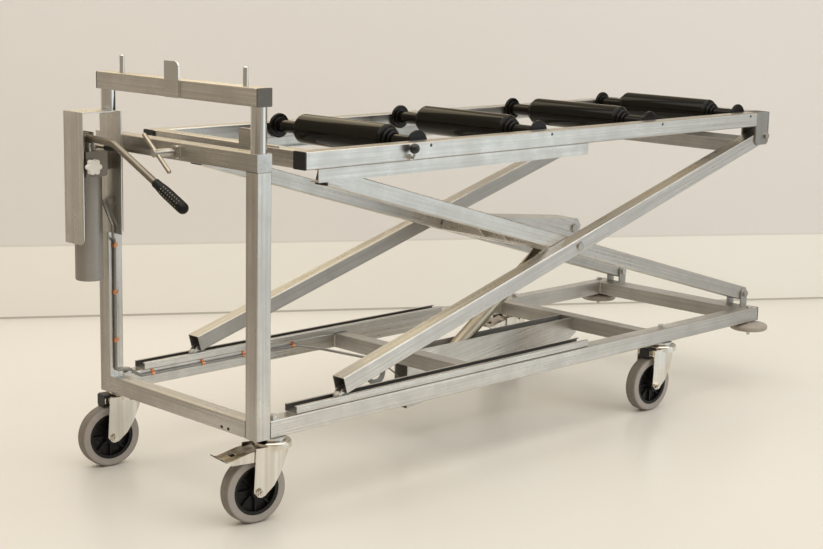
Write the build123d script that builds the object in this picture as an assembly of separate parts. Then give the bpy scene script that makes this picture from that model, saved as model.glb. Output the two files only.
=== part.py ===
"""Hydraulic scissor trolley: tube base on castors, scissor lift, roller top frame, hand pump and docking bar.

Millimetres, +Z up. X runs along the trolley from the pump end, Y across it (the lever side is -Y).
Shapes are laid out from the pump-end face and the underside of the base, then shifted once at the end.
"""
import os
from math import cos, hypot, radians, sin

from build123d import *

# Driving dimensions
width = 590.0
base_length = 1928.0
tube = 40.0
wall = 2.0
corner = 3.0
ride_height = 189.0
origin_x = 927.5
upright_height = 587.0
top_frame_z = 583.0
top_left_x = 137.0
top_right_x = 1863.0
arm_half = 863.4
arm_rest_deg = 15.98
base_pivot_x = 1915.0
base_pivot_z = 77.0
castor_x = (61.0, 1480.0)
castor_turn_deg = {castor_x[0]: -9.0, castor_x[1]: -4.0}
load_roller_x = (520.0, 952.0, 1411.0, 1831.0)
running_gap = 0.05
loose_gap = 0.1
plug_flange = 4.0

# Values that follow from them
half = width / 2
rail_y = half - tube / 2
inner_y = half - tube
mid = tube / 2
sides = (-1, 1)
rest = radians(arm_rest_deg)
centre_x = base_pivot_x - arm_half * cos(rest)
centre_z = base_pivot_z + arm_half * sin(rest)
top_pivot_z = base_pivot_z + 2 * arm_half * sin(rest)
outer_arm_y = rail_y - 5
inner_arm_y = outer_arm_y - tube - 1.5
clevis_cheek = 5.0
cheek_outer_y, cheek_inner_y = outer_arm_y + mid + 0.5, outer_arm_y - mid - 0.5
clevis_inside_y = cheek_inner_y - clevis_cheek
along_x, along_y, along_z = (1, 0, 0), (0, 1, 0), (0, 0, 1)


# Shape helpers
def block(x, y, z):
    """Box between pairs of limits."""
    size = [high - low for low, high in (x, y, z)]
    middle = [(high + low) / 2 for low, high in (x, y, z)]
    return Pos(*middle) * Box(*size)


def section(first, second, thickness=wall):
    """Hollow rectangle with rounded corners."""
    inside = RectangleRounded(first - 2 * thickness, second - 2 * thickness, corner - thickness + 0.01)
    return RectangleRounded(first, second, corner) - inside


def tube_x(x0, x1, y, z):
    return Pos(x0, y, z) * extrude(Plane.YZ * section(tube, tube), amount=x1 - x0)


def tube_y(y0, y1, x, z, depth=tube):
    return Pos(x, y0, z) * extrude(Plane.ZX * section(tube, depth), amount=y1 - y0)


def tube_z(z0, z1, x, y):
    return Pos(x, y, z0) * extrude(section(tube, tube), amount=z1 - z0)


def rod(start, direction, radius, length):
    return extrude(Plane(origin=start, z_dir=direction) * Circle(radius), amount=length)


def hexagon(start, direction, radius, length):
    return extrude(Plane(origin=start, z_dir=direction) * RegularPolygon(radius, 6), amount=length)


def rod_y(x, z, y0, y1, radius):
    """Round bar across the trolley between two y values."""
    return rod((x, min(y0, y1), z), along_y, radius, abs(y1 - y0))


def hex_y(x, z, y0, y1, radius):
    return hexagon((x, min(y0, y1), z), along_y, radius, abs(y1 - y0))


def plate_y(points, y0, y1):
    """Flat plate with a side-view outline (x, z)."""
    outline = Plane.XZ * Polygon(*points, align=None)
    return Pos(0, (y0 + y1) / 2, 0) * extrude(outline, amount=abs(y1 - y0) / 2, both=True)


def plate_x(points, x0, x1):
    """Flat plate with an end-view outline (y, z)."""
    return Pos(x0, 0, 0) * extrude(Plane.YZ * Polygon(*points, align=None), amount=x1 - x0)


def bent_rod(points, bend, radius):
    """Round bar of straight runs joined by tangent arcs."""
    path = FilletPolyline(*points, radius=bend)
    return sweep(Plane(origin=path @ 0, z_dir=path % 0) * Circle(radius), path=path)


def turned(profile):
    """Solid of revolution about Z from (radius, z) points."""
    return revolve(Plane.XZ * Polygon(*profile, align=None), axis=Axis.Z)


def group(shapes):
    """Separate solids that share one node."""
    return Compound([solid for shape in shapes for solid in shape.solids()])


def tube_plug(flange):
    """Plastic plug for a square tube that ends at zero and points along +X."""
    depth, across = 12.0, tube - 2 * wall - 2 * loose_gap
    cap = block((0, flange), (-mid, mid), (-mid, mid))
    shank = block((-depth, 0), (-across / 2, across / 2), (-across / 2, across / 2))
    cap = fillet(cap.edges().filter_by(Axis.X), corner)
    return cap + fillet(shank.edges().filter_by(Axis.X), corner / 2)


# Base frame
end_tube_x = mid
middle_cross_x = (747.0, 1415.0)
rear_tube_x = 1898.0
rear_tube_depth = 60.0
kingpin_radius = 6.0
bumper_x, bumper_y = 1900.0, 285.0
bumper_stud_radius = 5.0
lug_low_x, lug_high_x = 1900.0, 1930.0
lug_round = 15.0
pivot_bolt = 6.0


def base_rails():
    rails = []
    for side in sides:
        rail = tube_x(tube, base_length, side * rail_y, mid)
        for x in castor_x:
            rail -= rod((x, side * rail_y, -1), along_z, kingpin_radius + loose_gap, tube + 2)
        rail -= rod((bumper_x, side * bumper_y, -1), along_z, bumper_stud_radius + loose_gap, tube + 2)
        rails.append(rail)
    return group(rails)


def pivot_lug(y0, y1):
    lug = block((lug_low_x, lug_high_x), sorted((y0, y1)), (tube, base_pivot_z))
    lug += rod_y(base_pivot_x, base_pivot_z, y0, y1, lug_round)
    return lug - rod_y(base_pivot_x, base_pivot_z, y0 - 20, y1 + 20, pivot_bolt + loose_gap)


def base_cross_tubes():
    """Cross tubes, and the pivot lug plates that stand on the rear one."""
    crosses = [tube_y(-inner_y, inner_y, x, mid) for x in (end_tube_x, *middle_cross_x)]
    for drain_y in (-197.0, -174.0):
        crosses[0] -= block((-1, wall + 1), (drain_y - 4, drain_y + 4), (6, 12))
    crosses.append(tube_y(-inner_y, inner_y, rear_tube_x, mid, rear_tube_depth))
    lug_gap = mid + 1
    lug_thick = 4.5
    for side in sides:
        for edge in (-1, 1):
            near_face = side * inner_arm_y + edge * lug_gap
            crosses.append(pivot_lug(near_face, near_face + edge * lug_thick))
    return group(crosses)


def rail_end_caps():
    return group(Pos(base_length, side * rail_y, mid) * tube_plug(plug_flange) for side in sides)


track_y = 270.0
track_wide, track_tall, track_slot = 41.0, 18.0, 24.0


def lower_tracks():
    """Lipped channels with the slot upward, one on each rail."""
    shape = RectangleRounded(track_wide, track_tall, corner)
    shape -= RectangleRounded(track_wide - 2 * wall, track_tall - 2 * wall, corner - wall + 0.01)
    shape -= Pos(0, track_tall / 2) * Rectangle(track_slot, 2 * corner)
    z = tube + track_tall / 2
    track_start = {-1: 119.0, 1: 98.0}
    track_end = 1136.0
    return group(
        Pos(track_start[side], side * track_y, z)
        * extrude(Plane.YZ * shape, amount=track_end - track_start[side])
        for side in sides
    )


# Fasteners of the base
bumper_top, bumper_bottom = -2.0, -28.0
crown_top, crown_bottom = -6.5, -22.0


def rail_bolts():
    """King pins of the castors and studs of the bumpers."""
    bolts = []
    head_tall, washer_radius, nut_tall = 8.0, 30.0, 7.0
    for x in castor_x:
        for side in sides:
            y = side * rail_y
            low = crown_bottom - 0.5 - nut_tall
            bolt = rod((x, y, low), along_z, kingpin_radius, tube - low)
            bolt += hexagon((x, y, tube), along_z, 11, head_tall)
            bolt += rod((x, y, crown_top + 0.5), along_z, washer_radius, -crown_top - 0.5)
            bolt += hexagon((x, y, low), along_z, 11, nut_tall)
            bolts.append(bolt)
    stud_tail, lock_nut = 12.0, 5.0
    for side in sides:
        y = side * bumper_y
        nut_top = bumper_bottom - 0.5
        bolt = rod((bumper_x, y, nut_top - stud_tail), along_z, bumper_stud_radius, tube - nut_top + stud_tail)
        bolt += hexagon((bumper_x, y, tube), along_z, 9, 6)
        bolt += rod((bumper_x, y, bumper_top + 0.5), along_z, 16, -bumper_top - 0.5)
        bolt += hexagon((bumper_x, y, nut_top - lock_nut), along_z, 8, lock_nut)
        bolts.append(bolt)
    return bolts


def bumper(side):
    """Lens-shaped disc that turns on its stud."""
    radius, sag, rim_round = 55.0, 6.0, 6.5
    thick = bumper_top - bumper_bottom
    dome = (radius ** 2 + sag ** 2) / (2 * sag)
    disc = Cylinder(radius, thick) & Pos(0, 0, thick / 2 - dome) * Sphere(dome)
    disc = disc & Pos(0, 0, dome - thick / 2) * Sphere(dome)
    disc = fillet(disc.edges(), rim_round)
    disc -= Cylinder(bumper_stud_radius + running_gap, 2 * thick)
    return Pos(bumper_x, side * bumper_y, (bumper_top + bumper_bottom) / 2) * disc


# End frame and docking bar
post_radius = 17.5
screw_y, screw_z = -17.0, 607.0
screw_radius = 6.0
bar_low, bar_high = 725.5, 765.5


def end_uprights():
    return group(tube_z(0, upright_height, mid, side * rail_y) for side in sides)


def end_top_tube():
    """Closed top tube with the threaded clamp block welded to its outer face."""
    low, high = upright_height, upright_height + tube
    tube_body = block((0, tube), (-half, half), (low, high))
    tube_body = fillet(tube_body.edges().filter_by(Axis.Y), corner)
    tube_body -= block((wall, tube - wall), (-half + wall, half - wall), (low + wall, high - wall))
    for side in sides:
        tube_body -= rod((mid, side * rail_y, low - 1), along_z, post_radius + 0.5, tube + 2)
    clamp = block((-12, 0), (screw_y - 11, screw_y + 11), (screw_z - 14.5, screw_z + 14.5))
    clamp = fillet(clamp.edges().filter_by(Axis.X), corner)
    tube_body += clamp
    return tube_body - rod((-20, screw_y, screw_z), along_x, screw_radius + running_gap, 30)


def docking_bar():
    """Bar, posts, pins and stop tab welded together."""
    bar_half = half - plug_flange
    bar = tube_y(-bar_half, bar_half, mid, (bar_low + bar_high) / 2)
    post_length, post_wall = 420.0, 2.5
    pin_radius, pin_top = 6.0, 807.0
    pin_y = {-1: -231.0, 1: 218.0}
    for side in sides:
        post = rod((mid, side * rail_y, bar_low - post_length), along_z, post_radius, post_length)
        post -= rod((mid, side * rail_y, bar_low - post_length), along_z, post_radius - post_wall, post_length - 5)
        bar += post
        pin = rod((mid, pin_y[side], bar_high - wall), along_z, pin_radius, pin_top - bar_high + wall)
        bar += chamfer(pin.edges().sort_by(Axis.Z)[-1:], 2)
    tab_low_y, tab_high_y, tab_top = -27.0, 25.0, 806.0
    tab = block((-4, 0), (tab_low_y, tab_high_y), (bar_low, tab_top))
    tab = fillet(tab.edges().filter_by(Axis.X).sort_by(Axis.Z)[-2:].sort_by(Axis.Y)[0:1], 14)
    return bar + tab


def docking_bar_caps():
    middle = (bar_low + bar_high) / 2
    edge = half - plug_flange
    return group(Pos(mid, side * edge, middle) * Rot(0, 0, side * 90) * tube_plug(plug_flange) for side in sides)


tee_x = -56.0
tee_radius = 5.0
tee_length = 122.0
tee_direction = (0, 94 / hypot(94, 76), 76 / hypot(94, 76))


def clamp_screw():
    screw = rod((-26, screw_y, screw_z), along_x, screw_radius, 31)
    head = rod((-66, screw_y, screw_z), along_x, 9, 50)
    head = chamfer(head.edges(), 1.2)
    screw += head
    return screw - rod((tee_x, screw_y - 40 * tee_direction[1], screw_z - 40 * tee_direction[2]),
                       tee_direction, tee_radius + running_gap, 80)


def clamp_tee_bar():
    start = [c - tee_length / 2 * d for c, d in zip((tee_x, screw_y, screw_z), tee_direction)]
    bar = rod(tuple(start), tee_direction, tee_radius, tee_length)
    return fillet(bar.edges(), 2.5)


# Lift cylinder and its well
eye_x, eye_z = 810.0, -64.0
lever_pin_x, lever_pin_z = 1360.0, 303.0
lever_pin_radius = 8.0
well_pin_x, well_pin_z, well_pin_radius = 816.5, -67.8, 7.0
well_half, well_wall = 25.0, 2.5
cylinder_span = hypot(lever_pin_x - eye_x, lever_pin_z - eye_z)
cylinder_axis = ((eye_x - lever_pin_x) / cylinder_span, 0, (eye_z - lever_pin_z) / cylinder_span)
rod_radius, bore_radius, barrel_radius = 12.5, 17.0, 19.0


def along_cylinder(distance):
    """Point on the cylinder axis at a distance from the lever pin."""
    return (lever_pin_x + distance * cylinder_axis[0], 0, lever_pin_z + distance * cylinder_axis[2])


def cylinder_well():
    left_low, right_low = (729.0, -113.0), (1385.0, -22.0)
    slope = (right_low[1] - left_low[1]) / (right_low[0] - left_low[0])
    outer = [left_low, (729, 0), (767, 0), (767, 38), (1395, 38), (1395, 0), (1410, 0), (1410, -8), right_low]
    well = plate_y(outer, -well_half, well_half)
    floor_left = (700.0, left_low[1] - 29 * slope + well_wall)
    floor_right = (right_low[0], right_low[1] + well_wall)
    inside = [floor_left, floor_right, (1415, -2.5), (1415, 60), (700, 60)]
    well -= plate_y(inside, -well_half + well_wall, well_half - well_wall)
    return well - rod_y(well_pin_x, well_pin_z, -40, 40, well_pin_radius + loose_gap)


def base_pins():
    """Pivot bolts of the inner arms and the pin under the cylinder."""
    pins = []
    outer_face, inner_face = inner_arm_y + mid + 5.5, inner_arm_y - mid - 5.5
    for side in sides:
        bolt = rod_y(base_pivot_x, base_pivot_z, side * inner_face, side * outer_face, pivot_bolt)
        bolt += hex_y(base_pivot_x, base_pivot_z, side * outer_face, side * (outer_face + 7), 10)
        bolt += hex_y(base_pivot_x, base_pivot_z, side * inner_face, side * (inner_face - 7), 10)
        pins.append(bolt)
    pin = rod_y(well_pin_x, well_pin_z, -well_half, well_half, well_pin_radius)
    for side in sides:
        pin += hex_y(well_pin_x, well_pin_z, side * well_half, side * (well_half + 7), 12)
    return [*pins, pin]


def cylinder_rod():
    eye_radius, eye_half, rod_length, piston = 18.0, 15.0, 400.0, 20.0
    shape = rod(along_cylinder(0), cylinder_axis, rod_radius, rod_length)
    shape += rod_y(lever_pin_x, lever_pin_z, -eye_half, eye_half, eye_radius)
    shape += rod(along_cylinder(rod_length - piston), cylinder_axis, bore_radius - running_gap, piston)
    return shape - rod_y(lever_pin_x, lever_pin_z, -40, 40, lever_pin_radius + running_gap)


def cylinder_barrel():
    top, gland, base = 108.0, 25.0, cylinder_span - 36.0
    eye_outer, eye_bore, eye_half = 22.0, 16.6, 12.0
    shape = rod(along_cylinder(top), cylinder_axis, barrel_radius, base - top)
    shape += rod(along_cylinder(top), cylinder_axis, barrel_radius + 2, gland)
    shape -= rod(along_cylinder(top + gland), cylinder_axis, bore_radius, base - top - gland - 14)
    shape -= rod(along_cylinder(top - 5), cylinder_axis, rod_radius + running_gap, gland + 10)
    neck = rod(along_cylinder(base - 1), cylinder_axis, 11, 25)
    shape += neck + rod_y(eye_x, eye_z, -eye_half, eye_half, eye_outer)
    return shape - rod_y(eye_x, eye_z, -40, 40, eye_bore)


# Scissor arms, laid out along their own length with the centre pivot at zero
track_roller_radius, track_axle = 10.0, 4.0
upper_offset, lower_offset = 17.2, 23.8
centre_bolt = 7.0
inner_arm_end, outer_arm_end, arm_right = -arm_half - 8.6, -arm_half + 11.0, arm_half + 12.6


def on_inner_arm(shape):
    return Pos(centre_x, 0, centre_z) * Rot(0, arm_rest_deg, 0) * shape


def on_outer_arm(shape):
    return Pos(centre_x, 0, centre_z) * Rot(0, -arm_rest_deg, 0) * shape


def arm_tube(start, y):
    arm = tube_x(start, arm_right, y, 0)
    arm -= rod_y(0, 0, y - tube, y + tube, centre_bolt + running_gap)
    return arm - rod_y(arm_half, 0, y - tube, y + tube, pivot_bolt + running_gap)


def inner_arms():
    """Inner pair, each with the welded stub that carries its upper track roller."""
    arms = []
    for side in sides:
        face = inner_arm_y + mid
        arm = arm_tube(inner_arm_end, side * inner_arm_y)
        stub = [(-14.6, -14), (31.4, -14), (31.4, 10), (13.4, 28), (-12.6, 28)]
        outline = [(along - arm_half, above) for along, above in stub]
        arm += plate_y(outline, side * face, side * (face + 5))
        arm += rod_y(-arm_half, upper_offset, side * (face + 4), side * 289, track_axle)
        arms.append(on_inner_arm(arm))
    return group(arms)


def inner_arm_caps():
    plug = Rot(0, 0, 180) * tube_plug(plug_flange)
    return group(on_inner_arm(Pos(inner_arm_end, side * inner_arm_y, 0) * plug) for side in sides)


def outer_arms():
    """Outer pair, each with the fork of its lower track roller, and the tube that ties their upper ends."""
    arms = []
    cheek, cheek_gap = 3.0, 7.5
    tie_from_pivot, tie_half = 80.4, outer_arm_y - mid
    for side in sides:
        arm = arm_tube(outer_arm_end, side * outer_arm_y)
        for edge in (-1, 1):
            y0 = side * outer_arm_y + edge * cheek_gap
            y1 = y0 + edge * cheek
            fork = [(-7.5, -19), (8, -9), (50, -9), (50, -19), (5, -31)]
            arm += plate_y([(along - arm_half, above) for along, above in fork], y0, y1)
            arm += rod_y(-arm_half, -lower_offset, y0, y1, 9)
        reach = cheek_gap + cheek
        arm += rod_y(-arm_half, -lower_offset, side * outer_arm_y - reach, side * outer_arm_y + reach, track_axle)
        arms.append(on_outer_arm(arm))
    tie = on_outer_arm(tube_y(-tie_half, tie_half, arm_half - tie_from_pivot, 0))
    return group([*arms, tie])


def track_roller(radius, y0, y1):
    roller = rod_y(0, 0, y0, y1, radius)
    roller = fillet(roller.edges(), 1.5)
    return roller - rod_y(0, 0, y0 - 5, y1 + 5, track_axle + running_gap)


def lower_track_rollers():
    rollers = []
    for side in sides:
        roller = track_roller(track_roller_radius, side * outer_arm_y - 6.5, side * outer_arm_y + 6.5)
        rollers.append(on_outer_arm(Pos(-arm_half, 0, -lower_offset) * roller))
    return group(rollers)


def upper_track_rollers():
    rollers = []
    for side in sides:
        roller = track_roller(track_roller_radius, *sorted((side * 271, side * 287)))
        rollers.append(on_inner_arm(Pos(-arm_half, 0, upper_offset) * roller))
    return group(rollers)


pin_along = (lever_pin_x - centre_x) * cos(rest) - (lever_pin_z - centre_z) * sin(rest)
pin_above = (lever_pin_x - centre_x) * sin(rest) + (lever_pin_z - centre_z) * cos(rest)


def lever_bracket():
    """Lift lever: two cheeks and a top web welded to the cross tubes between the inner arms."""
    cheek_outer, cheek = 43.0, 5.0
    cross_along = (22.0, 100.0)
    outline = [(-48, 8), (0, -20), (125, -20), (pin_along + 8, 36), (pin_along + 27, 54),
               (pin_along + 27, 78), (pin_along + 8, 94), (-48, 37)]
    bracket = plate_y(outline, -cheek_outer, -cheek_outer + cheek)
    bracket += plate_y(outline, cheek_outer - cheek, cheek_outer)
    web = [(-48, 32), (-48, 37), (pin_along + 8, 94), (pin_along + 8, 89)]
    bracket += plate_y(web, -cheek_outer, cheek_outer)
    span = inner_arm_y - mid
    for x in cross_along:
        bracket -= block((x - mid, x + mid), (-cheek_outer - 1, cheek_outer + 1), (-mid, mid))
        bracket += tube_y(-span, span, x, 0)
    bracket -= rod_y(pin_along, pin_above, -60, 60, lever_pin_radius + loose_gap)
    return on_inner_arm(bracket)


def arm_pins():
    """Centre pivot bolts and the lever pin."""
    pins = []
    outer_face, inner_face = outer_arm_y + mid, inner_arm_y - mid
    for side in sides:
        bolt = rod_y(0, 0, side * (inner_face + wall), side * outer_face, centre_bolt)
        bolt += rod_y(0, 0, side * outer_face, side * (outer_face + 2), 14)
        bolt += hex_y(0, 0, side * (outer_face + 2), side * (outer_face + 5), 11)
        pins.append(on_inner_arm(bolt))
    pin = rod_y(pin_along, pin_above, -43, 43, lever_pin_radius)
    for side in sides:
        pin += hex_y(pin_along, pin_above, side * 43, side * 49, 12)
    return group([*pins, on_inner_arm(pin)])


# Top frame
side_middle_z = top_frame_z + mid
load_axis_z = 614.0
load_axle = 4.0
axle_recess = 1.5
end_member_x = (157.0, 1903.0)
clevis_right = 1927.0
plunger_x, plunger_z, plunger_radius = 451.0, 591.0, 4.0


def top_side_tubes():
    """Side tubes drilled for the roller axles; the near one carries the plunger bush."""
    tubes = []
    for side in sides:
        shape = tube_x(top_left_x, top_right_x, side * rail_y, side_middle_z)
        for x in load_roller_x:
            shape -= rod_y(x, load_axis_z, side * (half + 1), side * (inner_y - 1), load_axle + loose_gap)
        if side < 0:
            shape += rod_y(plunger_x, plunger_z, -half, -half - 6, 6.5)
            shape -= rod_y(plunger_x, plunger_z, -half - 9, -inner_y + 1, plunger_radius + running_gap)
        tubes.append(shape)
    return group(tubes)


def top_end_members():
    left = tube_y(-inner_y, inner_y, end_member_x[0], side_middle_z)
    stop_thick, stop_low_y, stop_high_y, stop_top = 8.0, -105.0, -63.0, 657.0
    top = top_frame_z + tube
    stop = block((top_left_x, top_left_x + stop_thick), (stop_low_y, stop_high_y), (top - corner, stop_top))
    stop = fillet(stop.edges().filter_by(Axis.X).sort_by(Axis.Z)[-2:], 4)
    left += block((top_left_x + corner, top_left_x + 20), (-200, stop_high_y), (top - wall, top + 3))
    left += stop
    right = tube_y(-clevis_inside_y, clevis_inside_y, end_member_x[1], side_middle_z)
    return group([left, right])


def top_end_caps():
    plug = Rot(0, 0, 180) * tube_plug(plug_flange)
    return group(Pos(top_left_x, side * rail_y, side_middle_z) * plug for side in sides)


def upper_tracks():
    """Channels under the side tubes, open towards the middle of the trolley."""
    thick, low_z, outer_y, lip_y = 2.5, 553.0, 293.0, 267.0
    start, end = 174.0, 1100.0
    tracks = []
    for side in sides:
        track = block((start, end), sorted((side * outer_y, side * lip_y)), (low_z, top_frame_z))
        track -= block(
            (start - 1, end + 1),
            sorted((side * (outer_y - thick), side * (lip_y - 1))),
            (low_z + thick, top_frame_z - thick),
        )
        tracks.append(track)
    return group(tracks)


def top_clevises():
    """Cheeks that hold the upper pivots, closed by an end plate and a top plate."""
    low, high = top_pivot_z - 24, top_frame_z + tube
    outline = [(top_right_x, high), (clevis_right, high), (clevis_right, low + 8), (clevis_right - 8, low),
               (top_right_x + 10, low), (top_right_x, low + 10)]
    clevises = []
    for side in sides:
        shape = plate_y(outline, side * cheek_outer_y, side * half)
        shape += plate_y(outline, side * clevis_inside_y, side * cheek_inner_y)
        across = sorted((side * clevis_inside_y, side * half))
        shape += block((top_right_x, top_right_x + 4), across, (top_frame_z, high))
        shape += block((top_right_x, clevis_right), across, (high - 4, high))
        shape -= rod_y(base_pivot_x, top_pivot_z, side * (half + 5), side * 200, pivot_bolt + loose_gap)
        clevises.append(shape)
    return group(clevises)


def top_bolts():
    """Upper pivot bolts and the fixed axles of the load rollers."""
    bolts = []
    inside = clevis_inside_y
    for side in sides:
        bolt = rod_y(base_pivot_x, top_pivot_z, side * inside, side * half, pivot_bolt)
        bolt += hex_y(base_pivot_x, top_pivot_z, side * half, side * (half + 6), 10)
        bolt += hex_y(base_pivot_x, top_pivot_z, side * inside, side * (inside - 6), 10)
        bolts.append(bolt)
    for x in load_roller_x:
        bolts.append(rod_y(x, load_axis_z, axle_recess - half, half - axle_recess, load_axle))
    return group(bolts)


def load_roller(x):
    """Thick barrel with stepped round shoulders, thinner sleeves and end flanges."""
    barrel, barrel_half, barrel_round = 37.5, 156.0, 9.0
    sleeve, flange, flange_wide, flange_end = 16.0, 31.5, 9.0, 253.0
    shoulders = ((29.0, 9.0, 4.0), (22.0, 17.0, 3.0))
    shape = fillet(Cylinder(barrel, 2 * barrel_half).edges(), barrel_round)
    for radius, reach, rounding in shoulders:
        shape += fillet(Cylinder(radius, 2 * (barrel_half + reach)).edges(), rounding)
    shape += Cylinder(sleeve, 2 * flange_end - flange_wide)
    for side in sides:
        rim = fillet(Cylinder(flange, flange_wide).edges(), 3)
        rim += Pos(0, 0, -side * flange_wide / 2) * fillet(Cylinder(sleeve + 6, 8).edges(), 2)
        shape += Pos(0, 0, side * (flange_end - flange_wide / 2)) * rim
    shape -= Cylinder(load_axle + running_gap, 600)
    return Pos(x, 0, load_axis_z) * Rot(90, 0, 0) * shape


def plunger():
    """Spring bolt with an upright stem and a ball to pull it by."""
    stem_y, ball_z, ball_radius, stem_radius = -half - 15.0, 612.0, 12.0, 3.0
    bolt = rod_y(plunger_x, plunger_z, -inner_y + 8, stem_y - stem_radius, plunger_radius)
    bolt += rod((plunger_x, stem_y, plunger_z), along_z, stem_radius, ball_z - plunger_z)
    return bolt + Pos(plunger_x, stem_y, ball_z) * Sphere(ball_radius)


# Hand pump
plate_back = -4.0
pump_axis_x, reservoir_x, reservoir_y = -78.0, -53.0, 256.0
lever_pivot_y, lever_pivot_z = 225.0, 622.0
head_near, head_low, head_high = 203.0, 532.0, 590.0
piston_y = 209.0
piston_radius, piston_low, piston_high = 4.0, 568.0, 611.0
knob_x, knob_z, knob_thick = -81.5, 557.0, 14.0
knob_back = head_near - 7.0
release_x, release_y, release_z = -51.0, 262.0, 600.0
pipe_y = 251.0
pipe_radius = 3.5


def pump_plate():
    outline = [(193, 392), (293, 392), (293, 628), (277, 628), (277, 680), (193, 680)]
    return plate_x(outline, plate_back, 0)


def pump_cover():
    """Bent sheet: a front panel hung from a top flap that is welded to the plate."""
    thick, front, near, far, low, high = 2.0, -100.0, 204.0, 281.0, 374.0, 680.0
    panel = block((front, front + thick), (near, far), (low, high))
    panel = fillet(panel.edges().filter_by(Axis.X).sort_by(Axis.Z)[:2].sort_by(Axis.Y)[0:1], 18)
    return panel + block((front, plate_back), (near, far), (high - thick, high))


def pump_body():
    """Reservoir, head block with its neck to the plate, and the two ears that hold the lever pins."""
    reservoir_low, head_far, head_back = 283.0, 276.0, -34.0
    body = rod((reservoir_x, reservoir_y, reservoir_low), along_z, 32.5, head_low - reservoir_low)
    body = fillet(body.edges().sort_by(Axis.Z)[:1], 4)
    head = block((-92, head_back), (head_near, head_far), (head_low, head_high))
    body += fillet(head.edges().filter_by(Axis.Y).group_by(Axis.X)[-1], 6)
    body += block((head_back - 1, plate_back), (256, head_far - 1), (head_low + 7, head_high - 7))
    for x0, x1 in ((-94, -89), (-69, -64)):
        body += block((x0, x1), (213, 272), (head_high - 20, lever_pivot_z + 12))
    body += rod((-94, lever_pivot_y, lever_pivot_z), along_x, 5, 30)
    body += rod((-66, release_y, release_z), along_x, 3, 26)
    body -= rod((pump_axis_x, piston_y, piston_low - 2), along_z, piston_radius + running_gap, 80)
    body += rod((knob_x, knob_back + 1, knob_z), along_y, 9.5, head_near - knob_back)
    return body - rod((knob_x, knob_back, knob_z), along_y, 5 + running_gap, 14)


lever_points = ((pump_axis_x, 225, 622), (pump_axis_x, 116, 618), (pump_axis_x, -145, 499.3))


def pump_lever():
    lever = bent_rod(lever_points, 60, 8)
    lever += rod((pump_axis_x - 9, lever_pivot_y, lever_pivot_z), along_x, 11, 18)
    return lever - rod((-110, lever_pivot_y, lever_pivot_z), along_x, 5 + running_gap, 80)


def pump_lever_grip():
    """Moulded sleeve that swells from a thin collar to a full round end."""
    start, end = Vector(*lever_points[1]), Vector(*lever_points[2])
    direction = (end - start).normalized()
    length, thin, full, bore, depth = 118.0, 10.4, 13.2, 8.05, 112.0
    swell_end, tip_start = 50.0, 104.0
    outline = Line((bore, 0), (thin, 0))
    outline += Bezier((thin, 0), (thin, swell_end * 0.4), (full, swell_end * 0.5), (full, swell_end))
    outline += Line((full, swell_end), (full, tip_start))
    outline += Bezier((full, tip_start), (full, length - 5), (full * 0.6, length), (0, length))
    outline += Polyline((0, length), (0, depth), (bore, depth), (bore, 0))
    grip = revolve(make_face(Plane.XZ * outline), axis=Axis.Z)
    back = end + direction * 6 - direction * length
    return Plane(origin=back, z_dir=direction).location * grip


def pump_piston():
    piston = rod((pump_axis_x, piston_y, piston_low), along_z, piston_radius, piston_high - piston_low)
    return fillet(piston.edges().sort_by(Axis.Z)[-1:], 2.5)


def release_knob():
    """Six-lobed hand knob on a short valve stem."""
    lobes, reach, lobe_radius = 6, 12.5, 6.0
    outline = Circle(14)
    for index in range(lobes):
        outline += Rot(0, 0, index * 360 / lobes) * Pos(reach, 0) * Circle(lobe_radius)
    knob = Rot(90, 0, 0) * extrude(outline, amount=knob_thick)
    return Pos(knob_x, knob_back, knob_z) * knob + rod((knob_x, knob_back - 3, knob_z), along_y, 5, 15.5)


def release_lever():
    """Valve lever: hub on its pin, hexagon, thin neck and round handle."""
    hex_start, neck_start, handle_start, handle_end = 254.0, 223.0, 187.0, 135.0
    lever = rod((release_x - 10, release_y, release_z), along_x, 7, 20)
    lever += hex_y(release_x, release_z, neck_start, hex_start, 7.6)
    lever += rod_y(release_x, release_z, hex_start - 1, release_y, 4)
    lever += rod_y(release_x, release_z, handle_start - 2, neck_start + 1, 3.5)
    handle = rod_y(release_x, release_z, handle_end, handle_start, 7)
    lever += fillet(handle.edges(), 4.5)
    return lever - rod((release_x - 20, release_y, release_z), along_x, 3 + running_gap, 40)


# Pipe and hose run from the pump to the well
hose_radius, tail_radius = 6.5, 2.0


def hydraulic_pipe():
    """Steel pipe down the upright and along the rail, a stiff hose bent in a loop, and a thin tail to the well."""
    pipe = [(-19.5, 268, 474), (-9, 264, 466), (-9, 222, 410), (-9, 222, 384), (15, pipe_y, 371),
            (15, pipe_y, 54), (52, pipe_y, 51),
            (88, pipe_y, 28), (585, pipe_y, 28), (636, 210, 18), (690, 50.6, 9.9)]
    hose = [pipe[-1], (699, 24, 8.6), (612, 0, 16), (612, 0, -30), (660, 0, -30), (664, 0, 3)]
    tail = [(663.5, 0, -2), (665, 0, 12), (732, 0, -37), (752, 0, -40)]
    run = bent_rod(pipe, 9, pipe_radius) + bent_rod(hose, 21, hose_radius) + bent_rod(tail, 5, tail_radius)
    coupling = tuple(Vector(*hose[1]) - Vector(*hose[0]))
    return run + hexagon(hose[0], coupling, hose_radius + 2.5, 16)


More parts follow.
